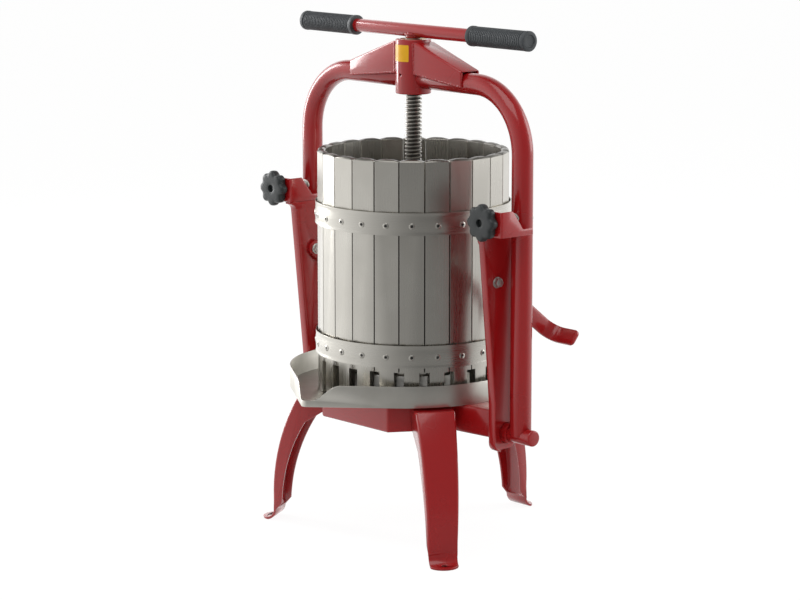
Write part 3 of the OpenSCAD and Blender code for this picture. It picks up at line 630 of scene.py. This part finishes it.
# The handle: a tube across the spindle's neck, both painted, with a weld all round where they meet.
# The neck is coped to the tube, and the weld is as lumpy as the beads on the gussets.
bar_low, bar_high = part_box("handle_bar")
bar_r = (bar_high.z - bar_low.z) / 2
bar_z = (bar_high.z + bar_low.z) / 2
neck_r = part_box("handle_hub")[1].x
neck_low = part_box("handle_hub")[0].z
neck_edge_r = 0.0008
neck_shoulder = bar_z - bar_r * 0.55
neck_high = bar_z - bar_r * 0.3
neck_weld_r = 0.0019
neck_weld_spots = 48
handle_edge_r = 0.0005
neck = turned([(0, neck_low), (neck_r - neck_edge_r, neck_low), (neck_r, neck_low + neck_edge_r),
               (neck_r, neck_shoulder), (neck_r - 0.002, neck_high), (0, neck_high)])
for i in range(neck_weld_spots):
    # The weld follows the tube's underside round the neck
    turn = math.tau * i / neck_weld_spots
    reach = min(0.85, abs(neck_r * math.sin(turn)) / bar_r)
    under = bar_z - bar_r * math.sqrt(1 - reach ** 2)
    spot = Vector((neck_r * math.cos(turn), neck_r * math.sin(turn), under))
    bmesh.ops.create_icosphere(neck, subdivisions=2, radius=neck_weld_r * (1 + 0.12 * math.sin(1.9 * i)),
                               matrix=Matrix.Translation(spot))
finish(neck, "handle_neck", enamel, "screw", ["handle_hub"], 45)
handle = worked_copy("handle_bar", handle_edge_r, 60)
finish(handle, "handle_tube", enamel, "screw", ["handle_bar"])


# The grips: moulded rubber sleeves pushed on the handle, with fine ribs, a thicker collar at each end
# and a shallow dish in the closed outer end. The rubber is dull and slightly dusty.
# Its grit is drawn about 0.6 mm across, coarser than it is, so that it shows.
rubber, tree = blank("moulded_rubber")
dusty = clouded(tree, 60.0, "323538", "484C4F", 4.0)[1]
grit = fine_relief(tree, 1800.0, 0.3, 0.0001)
moulding = add(tree, "ShaderNodeBsdfPrincipled", {"Roughness": 0.5}, {"Base Color": dusty, "Normal": grit})
add(tree, "ShaderNodeOutputMaterial", None, {"Surface": moulding.outputs[0]})

grip_rib_pitch = 0.0039
grip_ribs_start = 0.0095
grip_ribs_end = 0.0085
grip_cap = 0.004
grip_dish_r = 0.0088
for side, mirror in (("right", 1), ("left", -1)):
    grip_low, grip_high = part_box("grip_" + side)
    wall = (grip_high.z - grip_low.z) / 2
    length = grip_high.x - grip_low.x
    bore = bar_r + 0.0001
    # The sleeve's section: its cap and bore and the inner collar, the ribs, the outer collar and the dish
    profile = [(0, length - grip_cap), (bore, length - grip_cap), (bore, 0), (wall - 0.0012, 0),
               (wall, 0.0012), (wall, 0.0068), (wall - 0.0006, 0.008), (wall - 0.0015, 0.0085)]
    for i in range(int((length - grip_ribs_start - grip_ribs_end) / grip_rib_pitch)):
        start = grip_ribs_start + i * grip_rib_pitch
        profile += [(wall - 0.0016, start), (wall - 0.0007, start + 0.0006), (wall - 0.0005, start + 0.0014),
                    (wall - 0.0007, start + 0.0022), (wall - 0.0016, start + 0.0028)]
    profile += [(wall - 0.0015, length - 0.0075), (wall - 0.0002, length - 0.0065),
                (wall - 0.0002, length - 0.0016), (wall - 0.0010, length - 0.0004), (wall - 0.0024, length),
                (grip_dish_r + 0.0012, length), (grip_dish_r, length - 0.0014), (0, length - 0.0018)]
    inner_end = (grip_low.x if mirror > 0 else grip_high.x, 0, (grip_low.z + grip_high.z) / 2)
    grip = bmesh.new()
    place_mesh(grip, turned(profile, 56), seated(inner_end, 90 * mirror, "Y"))
    finish(grip, "ribbed_grip_" + side, rubber, "screw", ["grip_" + side], 40)


# The press plate: a pressed stainless disc with a turned-up rim, on a hub round the spindle's end.
# Stainless sheet keeps a fine grain from the rolling mill, and dull clouds of about 9 cm where it was
# handled. The grain is drawn about 1 mm wide, coarser than it is, so that it shows.
def stainless_sheet(name, grain_per_metre, top_shade, polished=0.2, handled=0.4, pale="D0CDC6", dark="B7B4AC"):
    """Rolled stainless sheet. The grain has so many lines in a metre along X, Y and Z, and few along
    itself. Faces that look up get painted shade by a share, for the dim light they mirror from above.
    The sheet's roughness lies between polished and handled, and its colour between pale and dark."""
    material, tree = blank(name)
    place = add(tree, "ShaderNodeTexCoord").outputs["Object"]
    lines = add(tree, "ShaderNodeMapping", {"Scale": grain_per_metre}, {"Vector": place})
    grain = add(tree, "ShaderNodeTexNoise", {"Scale": 1.0, "Detail": 3.0, "Roughness": 0.6},
                {"Vector": lines.outputs[0]})
    cloud = add(tree, "ShaderNodeTexNoise", {"Scale": 11.0, "Detail": 3.0, "Roughness": 0.55},
                {"Vector": place})
    tone = add(tree, "ShaderNodeMix", {6: linear(pale), 7: linear(dark)}, {0: cloud.outputs["Fac"]},
               data_type="RGBA")
    # Painted shade: faces that look up are mixed towards a dark tone, for the dim light they mirror from
    # overhead
    facing = add(tree, "ShaderNodeNewGeometry")
    level = add(tree, "ShaderNodeSeparateXYZ", None, {0: facing.outputs["Normal"]})
    upward_shade = add(tree, "ShaderNodeMapRange", {"From Min": 0.3, "From Max": 0.8, "To Max": top_shade},
                  {"Value": level.outputs["Z"]})
    top_shaded = add(tree, "ShaderNodeMix", {7: linear("4A4640")}, {0: upward_shade.outputs[0], 6: tone.outputs[2]},
                  data_type="RGBA")
    mixed = add(tree, "ShaderNodeMath", None, {0: grain.outputs["Fac"], 1: cloud.outputs["Fac"]},
                operation="ADD")
    dull = add(tree, "ShaderNodeMapRange",
               {"From Min": 0.6, "From Max": 1.4, "To Min": polished, "To Max": handled},
               {"Value": mixed.outputs[0]})
    scratch = add(tree, "ShaderNodeBump", {"Strength": 0.12, "Distance": 0.00005},
                  {"Height": grain.outputs["Fac"]})
    metal = add(tree, "ShaderNodeBsdfPrincipled", {"Metallic": 1.0},
                {"Base Color": top_shaded.outputs[2], "Roughness": dull.outputs[0],
                 "Normal": scratch.outputs[0]})
    add(tree, "ShaderNodeOutputMaterial", None, {"Surface": metal.outputs[0]})
    return material


# The third number is the share of painted shade on faces that look up: most on the slats' tops
upright_grain = stainless_sheet("stainless_upright_grain", (900, 900, 7), 0.85)
level_grain = stainless_sheet("stainless_level_grain", (7, 7, 900), 0.4)
disc_edge_r = 0.0006
disc = worked_copy("press_plate", disc_edge_r)
finish(disc, "pressed_disc", level_grain, "plate", ["press_plate"])


# The juice pan: stainless sheet, with an upright wall that runs out into a pointed spout.
# It has been washed and scoured, so it is duller than the basket, and its colour is painted paler, standing
# in for the brighter light on it.
scoured_and_painted_pale = stainless_sheet("stainless_scoured", (7, 7, 900), 0.5, 0.28, 0.5, "EFECE4", "A5A299")
pan_edge_r = 0.0005
pan = worked_copy("juice_pan", pan_edge_r, 60)
finish(pan, "spouted_pan", scoured_and_painted_pale, "frame", ["juice_pan"])


# The slats: 24 closed boxes of stainless sheet with cushioned tops, notched at the foot for the juice.
# Small outward dimples keep their inner corners together, which leaves hardly any light between them.
slat_count = 24
slat_inner_r = 0.142
slat_closing = 0.0006
slat_edge_r = 0.0006
for i in range(1, slat_count + 1):
    number = "slat_%02d" % i
    slat = worked_copy(number, slat_edge_r, 40)
    middle = sum((v.co for v in slat.verts), Vector()).to_2d().normalized()
    across = Vector((-middle.y, middle.x))
    for v in slat.verts:
        if v.co.to_2d().dot(middle) < slat_inner_r:
            v.co.xy += across * math.copysign(slat_closing, v.co.to_2d().dot(across))
    finish(slat, "box_" + number, upright_grain, "basket", [number], 24)


# The hoops: two rolled stainless bands round the slats, swelled in the middle and flared at both edges,
# with a blind rivet through them into each slat. A rivet's flange is bright, and its bore is filled with a
# near black disc, painted shade for the shadow down the hole.
# Painted shade: a near black disc in each rivet's bore stands for the shadow in the hole
bore_shade, tree = blank("painted_bore_shade")
tone = clouded(tree, 900.0, "141313", "2A2827", 2.0)[1]
bore_shade_surface = add(tree, "ShaderNodeBsdfPrincipled", {"Roughness": 0.6}, {"Base Color": tone})
add(tree, "ShaderNodeOutputMaterial", None, {"Surface": bore_shade_surface.outputs[0]})

hoop_sheet = 0.002
hoop_swell = 0.0012
hoop_flare = 0.0018
hoop_edge_r = hoop_sheet * 0.3
hoop_rows = 24
first_rivet_turn = math.radians(2.7)
# A rivet's flange from its bore to its rim: radius and height over the band
rivet_flange = ((0.0021, -0.0004), (0.0021, 0.0006), (0.0025, 0.0011), (0.0038, 0.0009), (0.0048, 0.0003),
                (0.0050, -0.0004))
rivet_bore = ((0, -0.0002), (0.0022, -0.0002), (0.0022, 0.0006), (0, 0.0006))
for which, rivet_height in (("upper", 0.0146), ("lower", 0.0165)):
    hoop_low, hoop_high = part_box("hoop_" + which)
    band = hoop_high.z - hoop_low.z
    inner = hoop_high.x - hoop_sheet - hoop_flare
    inside = []
    for i in range(hoop_rows + 1):
        share = i / hoop_rows
        bulge = hoop_swell * math.sin(math.pi * share) + hoop_flare * abs(2 * share - 1) ** 6
        inside.append((inner + bulge, hoop_low.z + band * share))
    outside = [(r + hoop_sheet, z) for r, z in inside]
    outside[0] = (outside[0][0] - hoop_edge_r, outside[0][1])
    outside[-1] = (outside[-1][0] - hoop_edge_r, outside[-1][1])
    hoop = turned(outside + inside[::-1], 144, closed=True)
    bores = bmesh.new()
    rivet_place = (0, -inner - hoop_swell - hoop_sheet, hoop_low.z + rivet_height)
    for k in range(slat_count):
        rivet_turn = first_rivet_turn + k * math.tau / slat_count
        spot = Matrix.Rotation(rivet_turn, 4, "Z") @ seated(rivet_place, 90, "X")
        place_mesh(hoop, turned(rivet_flange, 20, closed=True), spot)
        place_mesh(bores, turned(rivet_bore, 12), spot)
    finish(hoop, "riveted_hoop_" + which, level_grain, "basket", ["hoop_" + which], 35)
    finish(bores, "rivet_bores_" + which, bore_shade, "basket")


# The star knobs: moulded black plastic with eight lobes and a recess in the face, on zinc plated M10
# studs, with a plain washer behind each.
# The plastic is dull, with a fine texture from the mould, drawn about 0.7 mm across so that it shows.
plastic, tree = blank("moulded_black_plastic")
cloud, tone = clouded(tree, 70.0, "222627", "2E3233")
mould_grain = fine_relief(tree, 1500.0, 0.3, 0.00008)
dull = add(tree, "ShaderNodeMapRange", {"To Min": 0.36, "To Max": 0.5}, {"Value": cloud})
shell = add(tree, "ShaderNodeBsdfPrincipled", None,
            {"Base Color": tone, "Roughness": dull.outputs[0], "Normal": mould_grain})
add(tree, "ShaderNodeOutputMaterial", None, {"Surface": shell.outputs[0]})

knob_lobes = 8
knob_scallop = 0.0042
# The knob's rings from the back to the recess: radius, height and how deep the scallops cut there
knob_rings = ((0.0090, 0.0, 0), (0.0215, 0.0, 0.6), (0.0262, 0.0008, 0.9), (0.0280, 0.0028, 1),
              (0.0285, 0.0055, 1), (0.0285, 0.0095, 1), (0.0281, 0.0120, 1), (0.0268, 0.0138, 0.95),
              (0.0240, 0.0147, 0.8), (0.0190, 0.0150, 0.35), (0.0120, 0.0150, 0), (0.0072, 0.0150, 0),
              (0.0062, 0.0146, 0), (0.0060, 0.0138, 0), (0.0058, 0.0090, 0))
knob_profile = [(radius, height) for radius, height, depth in knob_rings]
recess_floor = knob_profile[-1][1]
stud_pitch = 0.0015
knob_washer_edge_r = 0.0002
for side in ("right", "left"):
    knob_low, knob_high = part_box("knob_" + side)
    knob_x = (knob_low.x + knob_high.x) / 2
    knob_z = (knob_low.z + knob_high.z) / 2
    knob = turned([(0, 0)] + knob_profile + [(0, recess_floor)], 96)
    for v in knob.verts:
        reach = v.co.xy.length
        depths = [d for r, h, d in knob_rings if abs(r - reach) + abs(h - v.co.z) < 0.00001]
        if depths:
            turn = math.atan2(v.co.y, v.co.x)
            dip = depths[0] * knob_scallop * (0.5 - 0.5 * math.cos(knob_lobes * turn)) ** 1.5
            v.co.xy *= 1 - dip / reach
    bmesh.ops.transform(knob, matrix=seated((knob_x, knob_high.y, knob_z), 90, "X"), verts=knob.verts[:])
    finish(knob, "star_knob_" + side, plastic, "clamp_" + side, ["knob_" + side], 50)

    # The stud ends just behind the floor of the recess
    stud_low, stud_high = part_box("knob_stud_" + side)
    stud_r = (stud_high.z - stud_low.z) / 2
    stud_length = stud_high.y - knob_high.y + recess_floor - 0.001
    stud = bmesh.new()
    place_mesh(stud, threaded(stud_length, stud_r, stud_r - 0.0008, stud_pitch, 20),
               seated((knob_x, stud_high.y, knob_z), 90, "X"))
    finish(stud, "threaded_stud_" + side, zinc, "clamp_" + side, ["knob_stud_" + side])

    washer = worked_copy("knob_washer_" + side, knob_washer_edge_r)
    finish(washer, "plain_washer_" + side, zinc, "washer_" + side, ["knob_washer_" + side])
